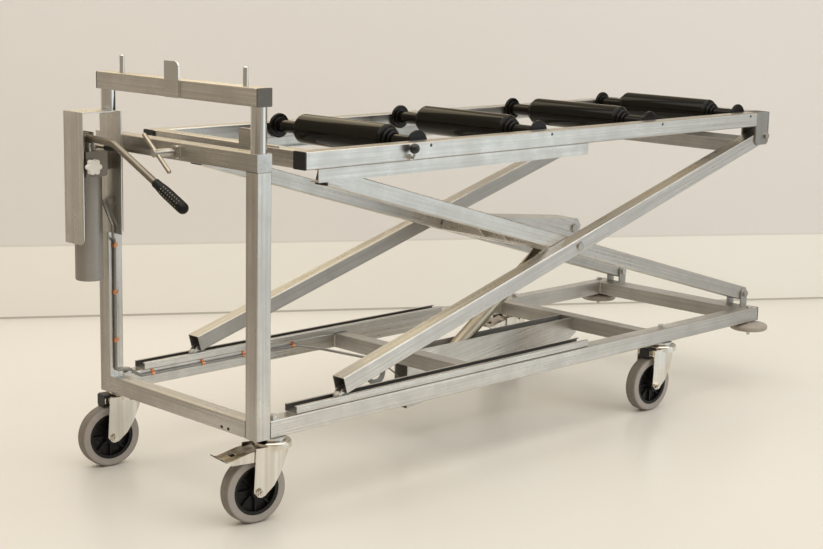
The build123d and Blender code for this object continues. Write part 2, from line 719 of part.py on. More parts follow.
def pipe_clips():
    """Copper saddle clips round the pipe, screwed to the upright and the rail."""
    clip_half, thick, gap, tab_reach = 5.0, 1.0, 0.1, 7.0
    outer = pipe_radius + gap + thick
    clips = []
    saddle = Cylinder(outer, 2 * clip_half) - Cylinder(pipe_radius + gap, 2 * clip_half)
    tab = block((0, outer + tab_reach), (inner_y - pipe_y - thick, inner_y - pipe_y), (-clip_half, clip_half))
    saddle -= block((-20, 20), (inner_y - pipe_y, 20), (-20, 20))
    screw = rod((outer + tab_reach - 3.5, inner_y - pipe_y - thick - 2, 0), along_y, 3, 2.5)
    clip = saddle + tab + screw
    clip -= Cylinder(pipe_radius + gap, 4 * clip_half)
    for z in (358, 245, 128):
        clips.append(Pos(15, pipe_y, z) * clip)
    for x in (123, 276, 408, 574):
        clips.append(Pos(x, pipe_y, 28) * Rot(0, -90, 0) * clip)
    return group(clips)


# Castors, laid out about the swivel axis with the wheel trailing towards -X
trail = 49.0
axle_z = -114.0
wheel_radius, tread_half, hub_radius = 75.0, 17.0, 56.0
leg_gap, leg_thick = 29.5, 3.0
axle_radius = 5.0
pedal_pivot_x, pedal_pivot_z, pedal_pin = -50.0, -28.0, 3.0
guard_half, guard_right = 17.0, -52.0


def placed(shape, x, side):
    return Pos(x, side * rail_y, 0) * Rot(0, 0, castor_turn_deg[x]) * shape


def rounded_plate_y(points, y0, y1, radius):
    """Flat plate with a side-view outline (x, z) and rounded corners."""
    face = make_face(Plane.XZ * FilletPolyline(*points, radius=radius, close=True))
    return Pos(0, (y0 + y1) / 2, 0) * extrude(face, amount=abs(y1 - y0) / 2, both=True)


def horseshoe(half_wide, back):
    """Upright prism with straight sides and a long rounded back."""
    low, high, front, bend = -140.0, -14.0, -90.0, -20.0
    outline = Pos((front + bend) / 2, 0) * Rectangle(bend - front, 2 * half_wide)
    outline += Pos(bend, 0) * Ellipse(back - bend, half_wide)
    return Pos(0, 0, low) * extrude(outline, amount=high - low)


def castor_fork(braked):
    """Pressed fork with its axle bolt; a pedal pin on a braked one, a guard bracket on a plain one."""
    crown_radius, outer = 43.0, leg_gap + leg_thick
    crown = Pos(0, 0, (crown_top + crown_bottom) / 2) * Cylinder(crown_radius, crown_top - crown_bottom)
    crown = fillet(crown.edges().sort_by(Axis.Z)[-1:], 6)
    leg = [(-59, -10), (-65, -112), (-55, -124), (-38, -124), (-14, -104), (3, -80), (18, -50), (31, -28), (52, -10)]
    shell = horseshoe(outer, crown_radius) - horseshoe(leg_gap, crown_radius - leg_thick)
    crown += shell & rounded_plate_y(leg, -outer - 5, outer + 5, 6)
    bracket_low, bracket_high = -31.0, -17.0
    if braked:
        crown += rod_y(pedal_pivot_x, pedal_pivot_z, -leg_gap - 1, leg_gap + 1, pedal_pin)
    else:
        for side in sides:
            ear_y = sorted((side * guard_half, side * (guard_half + leg_thick)))
            crown += block((guard_right - 15, guard_right + 2), ear_y, (bracket_low, bracket_high))
        crown += block((guard_right, guard_right + 4), (-leg_gap - 1, leg_gap + 1), (bracket_low, bracket_high))
    crown -= Pos(0, 0, -10) * Cylinder(kingpin_radius + running_gap, 40)
    crown -= rod_y(-trail, axle_z, -40, 40, axle_radius + loose_gap)
    axle = rod_y(-trail, axle_z, -outer, outer, axle_radius)
    washer = 1.5
    for side in sides:
        axle += rod_y(-trail, axle_z, side * outer, side * (outer + washer), 11)
        axle += hex_y(-trail, axle_z, side * (outer + washer), side * (outer + washer + 6), 9.5)
        axle += rod_y(-trail, axle_z, side * outer, side * (outer + washer + 9), axle_radius)
    return group([crown, axle])


def castor_guard():
    """Block in the fork bracket of a plain castor, hollowed to follow the tyre."""
    top, left, low, tyre_gap = -11.0, -69.0, -45.0, 4.0
    guard = block((left, guard_right), (-guard_half, guard_half), (low, top))
    guard = fillet(guard.edges().filter_by(Axis.Y).sort_by(Axis.Z)[-2:].sort_by(Axis.X)[:1], 4)
    return guard - rod_y(-trail, axle_z, -40, 40, wheel_radius + tyre_gap)


def castor_hub():
    """Black wheel centre: rim, web with radial ribs, and a boss on the axle."""
    rim_inner, rim_wide, web_half, rib_half, boss, boss_half = 48.0, 30.0, 4.0, 11.0, 17.0, 29.0
    hub = Cylinder(hub_radius, rim_wide) - Cylinder(rim_inner, rim_wide)
    hub += Cylinder(rim_inner + 1, 2 * web_half)
    hub += Cylinder(boss, 2 * boss_half)
    ribs = 8
    for index in range(ribs):
        rib = block((boss - 2, rim_inner + 1), (-2, 2), (-rib_half, rib_half))
        hub += Rot(0, 0, index * 360 / ribs) * rib
    hub -= Cylinder(axle_radius + running_gap, 80)
    return Pos(-trail, 0, axle_z) * Rot(90, 0, 0) * hub


def castor_tyre():
    tyre = Cylinder(wheel_radius, 2 * tread_half)
    tyre = fillet(tyre.edges(), 7)
    tyre -= Cylinder(hub_radius, 60)
    return Pos(-trail, 0, axle_z) * Rot(90, 0, 0) * tyre


def brake_pedal():
    """Foot plate over the wheel with side skirts, an upturned lip, a pivot boss and a shoe above the tyre."""
    pedal_half, skirt, lip_half, thick = 28.5, 2.0, 15.0, 2.5
    top_line = [(-44, -18), (-75, -22), (-124, -34), (-132, -33)]
    under_line = [(x, z - thick) for x, z in reversed(top_line)]
    pedal = plate_y([*top_line, *under_line], -pedal_half, pedal_half)
    lip = [(-130, -33.2), (-146, -23), (-147.5, -25), (-131, -35.6)]
    pedal += plate_y(lip, -lip_half, lip_half)
    side_skirt = [(-44, -19), (-75, -23), (-122, -34.5), (-118, -44), (-60, -45), (-44, -34)]
    for side in sides:
        pedal += plate_y(side_skirt, side * (pedal_half - skirt), side * pedal_half)
    shoe = [(-64, -21), (-64, -35), (-82, -40.6), (-82, -25)]
    pedal += plate_y(shoe, -12, 12)
    pedal += rod_y(pedal_pivot_x, pedal_pivot_z, -pedal_half, pedal_half, 6)
    pedal -= block((-108, -94), (-9, 9), (-40, -20))
    return pedal - rod_y(pedal_pivot_x, pedal_pivot_z, -40, 40, pedal_pin + running_gap)


# All nodes, with the four castors numbered from the lever-side corner of the pump end
nodes = {
    "base_rails": base_rails(),
    "base_cross_tubes": base_cross_tubes(),
    "rail_end_caps": rail_end_caps(),
    "lower_tracks": lower_tracks(),
    "base_bolts": group([*rail_bolts(), *base_pins()]),
    "near_bumper": bumper(-1),
    "far_bumper": bumper(1),
    "end_uprights": end_uprights(),
    "end_top_tube": end_top_tube(),
    "docking_bar": docking_bar(),
    "docking_bar_caps": docking_bar_caps(),
    "clamp_screw": clamp_screw(),
    "clamp_tee_bar": clamp_tee_bar(),
    "cylinder_well": cylinder_well(),
    "cylinder_rod": cylinder_rod(),
    "cylinder_barrel": cylinder_barrel(),
    "inner_arms": inner_arms(),
    "inner_arm_caps": inner_arm_caps(),
    "outer_arms": outer_arms(),
    "lower_track_rollers": lower_track_rollers(),
    "upper_track_rollers": upper_track_rollers(),
    "lever_bracket": lever_bracket(),
    "arm_pins": arm_pins(),
    "top_side_tubes": top_side_tubes(),
    "top_end_members": top_end_members(),
    "top_end_caps": top_end_caps(),
    "upper_tracks": upper_tracks(),
    "top_clevises": top_clevises(),
    "top_bolts": top_bolts(),
    "plunger": plunger(),
    "pump_plate": pump_plate(),
    "pump_cover": pump_cover(),
    "pump_body": pump_body(),
    "pump_lever": pump_lever(),
    "pump_lever_grip": pump_lever_grip(),
    "pump_piston": pump_piston(),
    "release_knob": release_knob(),
    "release_lever": release_lever(),
    "hydraulic_pipe": hydraulic_pipe(),
    "pipe_clips": pipe_clips(),
}
for number, x in enumerate(load_roller_x, 1):
    nodes[f"load_roller_{number}"] = load_roller(x)
corners = [(x, side) for x in castor_x for side in sides]
braked_castors = (1, 4)
for number, (x, side) in enumerate(corners, 1):
    braked = number in braked_castors
    nodes[f"castor_fork_{number}"] = placed(castor_fork(braked), x, side)
    nodes[f"castor_hub_{number}"] = placed(castor_hub(), x, side)
    nodes[f"castor_tyre_{number}"] = placed(castor_tyre(), x, side)
    if braked:
        nodes[f"brake_pedal_{number}"] = placed(brake_pedal(), x, side)
    else:
        nodes[f"castor_guard_{number}"] = placed(castor_guard(), x, side)

os.makedirs("parts", exist_ok=True)
for name, shape in nodes.items():
    export_step(Pos(-origin_x, 0, ride_height) * shape, f"parts/{name}.step")
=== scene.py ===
"""Looks of the hydraulic scissor trolley: finishes for every part, small trim, studio and camera."""
from math import cos, pi, radians, sin

import bmesh
import bpy
from mathutils import Matrix, Vector


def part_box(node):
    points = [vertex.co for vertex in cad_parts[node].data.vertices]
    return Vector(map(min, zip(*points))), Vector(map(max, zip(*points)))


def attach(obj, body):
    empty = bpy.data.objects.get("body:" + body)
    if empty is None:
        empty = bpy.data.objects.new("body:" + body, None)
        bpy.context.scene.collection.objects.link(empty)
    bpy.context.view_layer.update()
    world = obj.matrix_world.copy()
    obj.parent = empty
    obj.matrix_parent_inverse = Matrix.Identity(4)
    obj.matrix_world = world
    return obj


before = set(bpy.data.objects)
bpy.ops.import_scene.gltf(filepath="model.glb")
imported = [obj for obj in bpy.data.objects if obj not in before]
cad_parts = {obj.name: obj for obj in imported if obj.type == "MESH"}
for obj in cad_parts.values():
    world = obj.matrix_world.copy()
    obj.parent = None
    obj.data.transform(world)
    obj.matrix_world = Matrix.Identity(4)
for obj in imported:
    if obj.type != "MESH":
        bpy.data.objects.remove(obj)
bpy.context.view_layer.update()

scene = bpy.context.scene

# Layout shared with the solids, in millimetres from the pump-end face and the underside of the base
origin_x, ride_height = 927.5, 189.0
tube, rail_y = 40.0, 275.0
outer_arm_y, inner_arm_y = 270.0, 228.5
track_y = outer_arm_y
arm_slope, pivot_x, pivot_z = 15.98, 1084.96, 314.70
upright_top, track_top = 587.0, 583.0
bar_low, bar_high = 725.5, 766.0
load_axis_z = 614.0
castor_x = (61.0, 1480.0)
castor_turn = {1: radians(-9.0), 2: radians(-9.0), 3: radians(-4.0), 4: radians(-4.0)}
sides = (-1, 1)


def spot(x, y, z):
    """A layout point in metres in the model's frame."""
    return Vector((x - origin_x, y, z + ride_height)) / 1000


def at_x(x):
    """A layout distance from the pump end as a place along X in metres."""
    return spot(x, 0, 0).x


def at_z(z):
    """A layout height as a place along Z in metres."""
    return spot(0, 0, z).z


# Camera
def make_camera():
    """Camera fitted to corners of the frame in the photograph."""
    heading, pitch, roll = radians(44.961), radians(10.852), radians(-1.2187)
    place, lens, film_width, view_limit = (-3.1133, -2.9416, 1.2224), 71.61, 36.0, 100.0
    forward = Vector((cos(pitch) * cos(heading), cos(pitch) * sin(heading), -sin(pitch)))
    level = forward.cross(Vector((0, 0, 1))).normalized()
    down = forward.cross(level)
    right = level * cos(roll) + down * sin(roll)
    up = level * sin(roll) - down * cos(roll)
    data = bpy.data.cameras.new("photo_camera")
    data.sensor_width = film_width
    data.lens = lens
    data.clip_end = view_limit
    camera = bpy.data.objects.new("photo_camera", data)
    scene.collection.objects.link(camera)
    turn = Matrix((right, up, -forward)).transposed().to_4x4()
    camera.matrix_world = Matrix.Translation(place) @ turn
    scene.camera = camera


make_camera()


# Shader expressions
class Value:
    """An output socket that can be used in sums."""

    def __init__(self, shader, socket):
        self.shader = shader
        self.socket = socket

    def __add__(self, other):
        return self.shader.math("ADD", self, other)

    __radd__ = __add__

    def __sub__(self, other):
        return self.shader.math("SUBTRACT", self, other)

    def __rsub__(self, other):
        return self.shader.math("SUBTRACT", other, self)

    def __mul__(self, other):
        return self.shader.math("MULTIPLY", self, other)

    __rmul__ = __mul__

    def __truediv__(self, other):
        return self.shader.math("DIVIDE", self, other)

    def __rtruediv__(self, other):
        return self.shader.math("DIVIDE", other, self)

    def __pow__(self, other):
        return self.shader.math("POWER", self, other)

    def __abs__(self):
        return self.shader.math("ABSOLUTE", self)


class Shader:
    """Adds nodes to one tree and hands back their outputs."""

    def __init__(self, tree):
        self.tree = tree
        tree.nodes.clear()
        self.known = {}

    def node(self, kind, settings=None, values=None, output=0):
        """One node with its settings, then the values or links of its sockets; gives one of its outputs."""
        made = self.tree.nodes.new(kind)
        for name, setting in (settings or {}).items():
            setattr(made, name, setting)
        for name, value in (values or {}).items():
            if isinstance(value, Value):
                self.tree.links.new(value.socket, made.inputs[name])
            else:
                made.inputs[name].default_value = value
        if made.outputs:
            return Value(self, made.outputs[output])

    def math(self, operation, first, second=0.0):
        return self.node("ShaderNodeMath", {"operation": operation}, {0: first, 1: second})

    def place(self):
        """Rest position on the surface as x, y and z in metres."""
        if "place" not in self.known:
            vector = self.node("ShaderNodeTexCoord", output="Object")
            self.known["place"] = [
                self.node("ShaderNodeSeparateXYZ", None, {0: vector}, output) for output in range(3)
            ]
        return self.known["place"]

    def noise(self, x, y, z, detail=2.0, roughness=0.5):
        """Noise from 0 to 1 over three values, one cell per unit."""
        vector = self.node("ShaderNodeCombineXYZ", None, {0: x, 1: y, 2: z})
        values = {"Vector": vector, "Scale": 1.0, "Detail": detail, "Roughness": roughness}
        return self.node("ShaderNodeTexNoise", None, values)

    def spread(self, size, detail=2.0, roughness=0.5):
        """Even noise with features of about this size in metres."""
        x, y, z = self.place()
        return self.noise(x / size, y / size, z / size, detail, roughness)

    def cells(self, size):
        """Distance to scattered points about this far apart."""
        x, y, z = self.place()
        vector = self.node("ShaderNodeCombineXYZ", None, {0: x / size, 1: y / size, 2: z / size})
        return self.node("ShaderNodeTexVoronoi", None, {"Vector": vector, "Scale": 1.0})

    def step(self, value, low, high):
        """Smooth rise from 0 at low to 1 at high."""
        values = {"Value": value, "From Min": low, "From Max": high}
        return self.node("ShaderNodeMapRange", {"interpolation_type": "SMOOTHSTEP"}, values)

    def band(self, value, low, high, edge):
        """1 between low and high, fading over edge."""
        return self.step(value, low - edge, low) * (1 - self.step(value, high, high + edge))

    def line(self, value, at, width):
        """Thin line where value is near at."""
        return 1 - self.step(abs(value - at), width * 0.4, width)

    def mix(self, factor, first, second):
        """Colour between two colours."""
        factor_input, first_input, second_input, colour_output = 0, 6, 7, 2
        values = {factor_input: factor}
        for number, colour in ((first_input, first), (second_input, second)):
            values[number] = colour if isinstance(colour, Value) else (*colour, 1.0)
        return self.node("ShaderNodeMix", {"data_type": "RGBA"}, values, colour_output)

    def bump(self, height, strength, distance):
        """Surface direction over this relief."""
        values = {"Height": height, "Strength": strength, "Distance": distance}
        return self.node("ShaderNodeBump", None, values)


class Finish(Shader):
    """One material with a Principled shader."""

    def __init__(self, name):
        self.material = bpy.data.materials.new(name)
        self.material.use_nodes = True
        super().__init__(self.material.node_tree)

    def shade(self, colour, rough, normal, metal=0.0, shine=0.5):
        values = {"Base Color": colour, "Roughness": rough, "Normal": normal}
        values.update({"Metallic": metal, "Specular IOR Level": shine})
        return self.cover_with(self.node("ShaderNodeBsdfPrincipled", None, values))

    def cover_with(self, surface):
        self.node("ShaderNodeOutputMaterial", None, {"Surface": surface})
        return self.material


# Brushing directions in degrees above +X, with crosswise along Y, and the width in which a zone fades
lengthwise, crosswise, upwards = 0, None, 90
zone_edge = 0.0002


# Finishes
def dimmed(colour, share):
    return tuple(part * share for part in colour)


def grain(shader, slope, between=None):
    """Distances along and across the brushing; slope is its direction.

    Closer to the middle than between, it runs along Y too.
    """
    x, y, z = shader.place()
    if slope is crosswise:
        return y, x, z
    angle = radians(slope)
    along, across, depth = x * cos(angle) + z * sin(angle), z * cos(angle) - x * sin(angle), y
    if between:
        side = shader.step(abs(y), between - zone_edge, between)
        along, depth = along * side + y * (1 - side), y * side + x * (1 - side)
    return along, across, depth


def brushed_steel(name, slope, marks=(), dark=None, polished=None, tone=1.0, between=None):
    """Satin stainless tube: long brush strokes, faint smudges, joint lines, zones of painted shade and
    polished zones.

    Each mark is a joint line square to an axis, as the axis number, the place and the width.
    """
    finish = Finish(name)
    along, across, depth = grain(finish, slope, between)
    fine = finish.noise(along * 14, across * 1100, depth * 1100, 3.0, 0.6)
    strokes = finish.step(finish.noise(along * 2.2, across * 190, depth * 190, 3.0, 0.6), 0.30, 0.70)
    smudge = finish.step(finish.spread(0.10, 4.0, 0.62), 0.30, 0.72)
    speck = finish.step(finish.spread(0.006, 2.0), 0.66, 0.78)
    # tone scales the whole steel lighter or darker; parts use it as painted light or painted shade
    dull, bright = dimmed((0.560, 0.538, 0.500), tone), dimmed((0.725, 0.706, 0.668), tone)
    colour = finish.mix(strokes, dull, bright)
    colour = finish.mix(smudge * 0.5, colour, dimmed(dull, 0.82))
    colour = finish.mix(speck * 0.04, colour, (0.30, 0.28, 0.25))
    rough = 0.20 + strokes * 0.09 + smudge * 0.12 + fine * 0.05
    height = fine * 0.6 + strokes * 0.4
    if polished:
        shine = polished(finish)
        rough = rough * (1 - shine) + shine * 0.05
        colour = finish.mix(shine, colour, (0.66, 0.65, 0.63))
        height = height * (1 - shine * 0.85)
    metal = 1.0
    for axis, at, width in marks:
        seam = finish.line(finish.place()[axis], at, width)
        colour = finish.mix(seam * 0.55, colour, (0.20, 0.18, 0.155))
        rough = rough + seam * 0.15
        height = height - seam * 0.8
    # Painted shade: a dark zone turns the steel nearly black and less metallic
    if dark:
        shade = dark(finish)
        colour = finish.mix(shade * 0.94, colour, (0.030, 0.026, 0.022))
        rough = rough + shade * 0.3
        metal = 1 - shade * 0.9
    normal = finish.bump(height, 0.16, 0.0004)
    return finish.shade(colour, rough, normal, metal=metal)


def zinc(name, dark=None):
    """Bright zinc plating: cloudy patches and fine scratches, with zones darkened nearly to black."""
    finish = Finish(name)
    cloud = finish.spread(0.018, 4.0, 0.6)
    spangle = finish.cells(0.006)
    scratch = finish.step(finish.spread(0.0016, 2.0), 0.58, 0.72)
    bright = (0.66, 0.655, 0.635)
    colour = finish.mix(cloud, dimmed(bright, 0.74), bright)
    colour = finish.mix(spangle * 0.14, colour, (0.72, 0.70, 0.62))
    rough = 0.09 + cloud * 0.11 + scratch * 0.10
    metal = 1.0
    if dark:
        shade = dark(finish)
        colour = finish.mix(shade * 0.9, colour, (0.02, 0.018, 0.016))
        metal = 1 - shade
    normal = finish.bump(cloud * 0.5 + scratch * 0.5, 0.10, 0.0004)
    return finish.shade(colour, rough, normal, metal=metal)


def fork_plating(name, worn=None):
    """Bright plated sheet: upright light and dark streaks, cloudy patches, fine scratches and a painted dark
    reflection in a given zone.
    """
    finish = Finish(name)
    x, y, z = finish.place()
    bands = finish.step(finish.noise(x * 62, y * 62, z * 1.5, 2.0, 0.5), 0.36, 0.66)
    cloud = finish.spread(0.016, 4.0, 0.6)
    scratch = finish.step(finish.spread(0.0016, 2.0), 0.58, 0.72)
    colour = finish.mix(bands, (0.655, 0.61, 0.535), (0.80, 0.775, 0.725))
    colour = finish.mix(cloud * 0.30, colour, (0.56, 0.53, 0.48))
    rough = 0.08 + cloud * 0.09 + scratch * 0.08
    # Painted reflection: the given zone is darkened in blotches for the dark parts that the pedal top mirrors
    if worn:
        painted_reflection = worn(finish) * (0.55 + finish.step(finish.spread(0.022, 3.0), 0.42, 0.62) * 0.40)
        colour = finish.mix(painted_reflection, colour, (0.17, 0.138, 0.092))
        rough = rough + painted_reflection * 0.10
    normal = finish.bump(bands * 0.7 + scratch * 0.3, 0.12, 0.0005)
    return finish.shade(colour, rough, normal, metal=1.0)


def moulded(name, tone, rough, worn, pitch=0.0007, shine=0.5):
    """Moulded plastic with a fine grain, a few rubbed patches and light dust."""
    finish = Finish(name)
    pebble = finish.spread(pitch, 2.0)
    rub = finish.step(finish.spread(0.02, 4.0, 0.65), 0.55, 0.75)
    dust = finish.step(finish.spread(0.003, 3.0), 0.60, 0.80)
    colour = finish.mix(rub * 0.5, tone, worn)
    colour = finish.mix(dust * 0.10, colour, (0.42, 0.40, 0.36))
    normal = finish.bump(pebble, 0.22, 0.0002)
    roughness = rough + pebble * 0.10 - rub * 0.08 + dust * 0.08
    return finish.shade(colour, roughness, normal, shine=shine)


def gloss_black(name):
    """Glossy black covering with faint running marks round the roller and a little dust."""
    finish = Finish(name)
    x, y, z = finish.place()
    rings = finish.noise(x * 3, y * 420, z * 3, 3.0, 0.6)
    haze = finish.spread(0.07, 4.0, 0.6)
    dust = finish.step(finish.spread(0.0022, 2.0), 0.68, 0.82)
    colour = finish.mix(haze, (0.0036, 0.0030, 0.0022), (0.0072, 0.0062, 0.0048))
    colour = finish.mix(dust * 0.05, colour, (0.30, 0.28, 0.25))
    rough = 0.035 + rings * 0.04 + haze * 0.03 + dust * 0.08
    normal = finish.bump(rings, 0.05, 0.0003)
    return finish.shade(colour, rough, normal, shine=0.19)


def wheel_place(finish, centre, turn):
    """Distance from the axle and along it for a castor wheel."""
    x, y, z = finish.place()
    forward = (x - centre.x) * cos(turn) + (y - centre.y) * sin(turn)
    across = (y - centre.y) * cos(turn) - (x - centre.x) * sin(turn)
    rise = z - centre.z
    return (forward ** 2 + rise ** 2) ** 0.5, across


def tyre_rubber(name, centre, turn):
    """Grey tyre: pale walls with moulding rings, a scuffed darker tread and a mould line round it."""
    tread_start, tread_full, ring_pitch, seam_width = 0.0700, 0.0738, 0.0042, 0.0009
    finish = Finish(name)
    radius, across = wheel_place(finish, centre, turn)
    tread = finish.step(radius, tread_start, tread_full)
    mottle = finish.spread(0.012, 4.0, 0.62)
    grit = finish.step(finish.spread(0.0025, 3.0), 0.52, 0.72)
    rings = finish.math("SINE", radius * (2 * pi / ring_pitch)) * 0.5 + 0.5
    seam = finish.line(across, 0.0, seam_width)
    wall = finish.mix(mottle, (0.315, 0.284, 0.262), (0.415, 0.382, 0.356))
    scuffed = finish.mix(grit * 0.6 + mottle * 0.3, (0.225, 0.200, 0.172), (0.100, 0.087, 0.073))
    colour = finish.mix(tread, wall, scuffed)
    colour = finish.mix(seam * tread * 0.5, colour, (0.30, 0.285, 0.27))
    height = mottle * 0.5 + grit * 0.3 + rings * (1 - tread) * 0.5 + seam * tread
    normal = finish.bump(height, 0.30, 0.0005)
    rough = 0.60 + mottle * 0.14 + grit * tread * 0.16
    return finish.shade(colour, rough, normal)


def hub_black(name, centre, turn):
    """Moulded black wheel centre with a smoother outer ring and dust in the pockets."""
    ring_start, ring_full, pocket_deep, pocket_mouth = 0.0490, 0.0505, 0.004, 0.011
    finish = Finish(name)
    radius, across = wheel_place(finish, centre, turn)
    ring = finish.step(radius, ring_start, ring_full)
    pocket = 1 - finish.step(abs(across), pocket_deep, pocket_mouth)
    dust = finish.step(finish.spread(0.006, 4.0, 0.6), 0.48, 0.72)
    pebble = finish.spread(0.0008, 2.0)
    colour = finish.mix(ring, (0.0060, 0.0058, 0.0056), (0.0125, 0.0118, 0.0112))
    colour = finish.mix(dust * pocket * 0.14, colour, (0.20, 0.185, 0.165))
    rough = 0.46 - ring * 0.10 + dust * 0.14
    normal = finish.bump(pebble, 0.20, 0.0002)
    return finish.shade(colour, rough, normal, shine=0.28)


def pump_casting(name):
    """Dull grey reservoir with drawn tube marks and oil haze, under a darker head."""
    head_low, head_edge = at_z(532.0), 0.0005
    finish = Finish(name)
    x, y, z = finish.place()
    drawn = finish.noise(x * 260, y * 260, z * 5, 3.0, 0.6)
    haze = finish.spread(0.045, 4.0, 0.62)
    pit = finish.step(finish.spread(0.0022, 2.0), 0.60, 0.74)
    colour = finish.mix(drawn * 0.5 + haze * 0.5, (0.300, 0.284, 0.262), (0.430, 0.410, 0.382))
    colour = finish.mix(pit * 0.25, colour, (0.12, 0.112, 0.10))
    head = finish.step(z, head_low - head_edge, head_low)
    colour = finish.mix(head * 0.80, colour, (0.215, 0.190, 0.158))
    rough = 0.38 + haze * 0.16 + pit * 0.12
    normal = finish.bump(drawn * 0.5 + pit * 0.5, 0.20, 0.0004)
    return finish.shade(colour, rough, normal, metal=0.75)


def turned_metal(name, tone, rough, thread_start=None):
    """Plain drawn or ground bar with fine marks, and a screw thread along X past thread_start."""
    thread_pitch, run_out = 0.0018, 0.001
    finish = Finish(name)
    haze = finish.spread(0.03, 4.0, 0.6)
    fine = finish.spread(0.0012, 2.0)
    colour = finish.mix(haze, dimmed(tone, 0.72), tone)
    height = fine * 0.4
    if thread_start is not None:
        x, y, z = finish.place()
        thread = finish.math("SINE", x * (2 * pi / thread_pitch)) * 0.5 + 0.5
        shank = finish.step(x, thread_start, thread_start + run_out)
        colour = finish.mix(thread * shank * 0.5, colour, (0.22, 0.21, 0.19))
        height = height + thread * shank
    normal = finish.bump(height, 0.20, 0.0005)
    roughness = rough + haze * 0.14 + fine * 0.06
    return finish.shade(colour, roughness, normal, metal=1.0)


def copper(name):
    """Bright copper strip with tarnish."""
    finish = Finish(name)
    tarnish = finish.step(finish.spread(0.006, 4.0, 0.65), 0.40, 0.72)
    colour = finish.mix(tarnish, (0.80, 0.385, 0.205), (0.46, 0.190, 0.095))
    rough = 0.22 + tarnish * 0.20
    normal = finish.bump(tarnish, 0.12, 0.0003)
    return finish.shade(colour, rough, normal, metal=1.0)


def pipe_and_hose(name):
    """Dull steel pipe that changes to a grey rubber hose at the hanging loop."""
    hose_start_y, tail_start_x, tail_y, edge = 0.0506, at_x(671.0), 0.006, 0.0005
    finish = Finish(name)
    x, y, z = finish.place()
    tail = finish.step(x, tail_start_x, tail_start_x + edge) * (1 - finish.step(y, tail_y, tail_y + edge))
    hose = (1 - finish.step(y, hose_start_y - edge, hose_start_y)) * (1 - tail)
    haze = finish.spread(0.03, 4.0, 0.6)
    fine = finish.spread(0.0015, 2.0)
    steel = finish.mix(haze, (0.225, 0.22, 0.21), (0.36, 0.352, 0.338))
    rubber = finish.mix(haze, (0.16, 0.168, 0.165), (0.25, 0.258, 0.252))
    colour = finish.mix(hose, steel, rubber)
    rough = 0.32 + haze * 0.14 + hose * 0.22
    normal = finish.bump(fine, 0.15, 0.0003)
    return finish.shade(colour, rough, normal, metal=0.95 - hose * 0.95)


def release_finish(name):
    """Valve lever: steel hub, white hexagon, thin steel neck and a black handle."""
    collar_near, collar_far, collar_edge, handle_end, neck_start = 0.2230, 0.2500, 0.0004, 0.1870, 0.1875
    finish = Finish(name)
    x, y, z = finish.place()
    collar = finish.band(y, collar_near, collar_far, collar_edge)
    handle = 1 - finish.step(y, handle_end, neck_start)
    haze = finish.spread(0.012, 4.0, 0.6)
    colour = finish.mix(haze, (0.44, 0.43, 0.41), (0.64, 0.63, 0.60))
    colour = finish.mix(collar, colour, (0.72, 0.70, 0.66))
    colour = finish.mix(handle, colour, (0.014, 0.0135, 0.013))
    rough = 0.22 + haze * 0.12 + collar * 0.16 + handle * 0.16
    normal = finish.bump(haze, 0.08, 0.0004)
    metal = 1 - finish.math("MINIMUM", collar + handle, 1.0)
    return finish.shade(colour, rough, normal, metal=metal)


def plunger_finish(name):
    """Glossy black ball on a bright pin."""
    pin_end, ball_start = at_z(600.2), at_z(600.6)
    finish = Finish(name)
    x, y, z = finish.place()
    ball = finish.step(z, pin_end, ball_start)
    haze = finish.spread(0.01, 4.0, 0.6)
    colour = finish.mix(ball, (0.55, 0.54, 0.51), (0.009, 0.009, 0.0095))
    rough = 0.24 - ball * 0.10 + haze * 0.10
    normal = finish.bump(haze, 0.05, 0.0003)
    return finish.shade(colour, rough, normal, metal=1 - ball)


def bumper_rubber(name):
    """Pale grey moulded disc, mottled and scuffed."""
    finish = Finish(name)
    mottle = finish.spread(0.02, 4.0, 0.62)
    scuff = finish.step(finish.spread(0.007, 3.0, 0.6), 0.58, 0.74)
    colour = finish.mix(mottle, (0.29, 0.252, 0.212), (0.42, 0.378, 0.33))
    colour = finish.mix(scuff * 0.45, colour, (0.20, 0.172, 0.145))
    normal = finish.bump(mottle * 0.5 + scuff * 0.5, 0.2, 0.0004)
    return finish.shade(colour, 0.48 + mottle * 0.15, normal)


def white_knob(name):
    """White hand knob, slightly yellowed, with soiled patches."""
    finish = Finish(name)
    soil = finish.step(finish.spread(0.009, 4.0, 0.65), 0.50, 0.78)
    colour = finish.mix(soil * 0.55, (0.86, 0.845, 0.81), (0.62, 0.59, 0.54))
    normal = finish.bump(soil, 0.06, 0.0003)
    return finish.shade(colour, 0.30 + soil * 0.18, normal)


# Zones of painted shade and darker axle ends on the tubes, a painted dark reflection on the pedals, and
# polish
def track_inside(finish):
    """Painted shade inside the lower tracks."""
    floor, lip, top = at_z(41.8), at_z(56.2), at_z(57.8)
    trough_half, slot_half, track_shade = 0.0188, 0.0123, 0.84
    x, y, z = finish.place()
    across = abs(y) - track_y / 1000
    trough = finish.band(across, -trough_half, trough_half, zone_edge) * finish.band(z, floor, lip, zone_edge)
    slot = finish.band(across, -slot_half, slot_half, zone_edge) * finish.band(z, lip, top, zone_edge)
    return (trough + slot) * track_shade


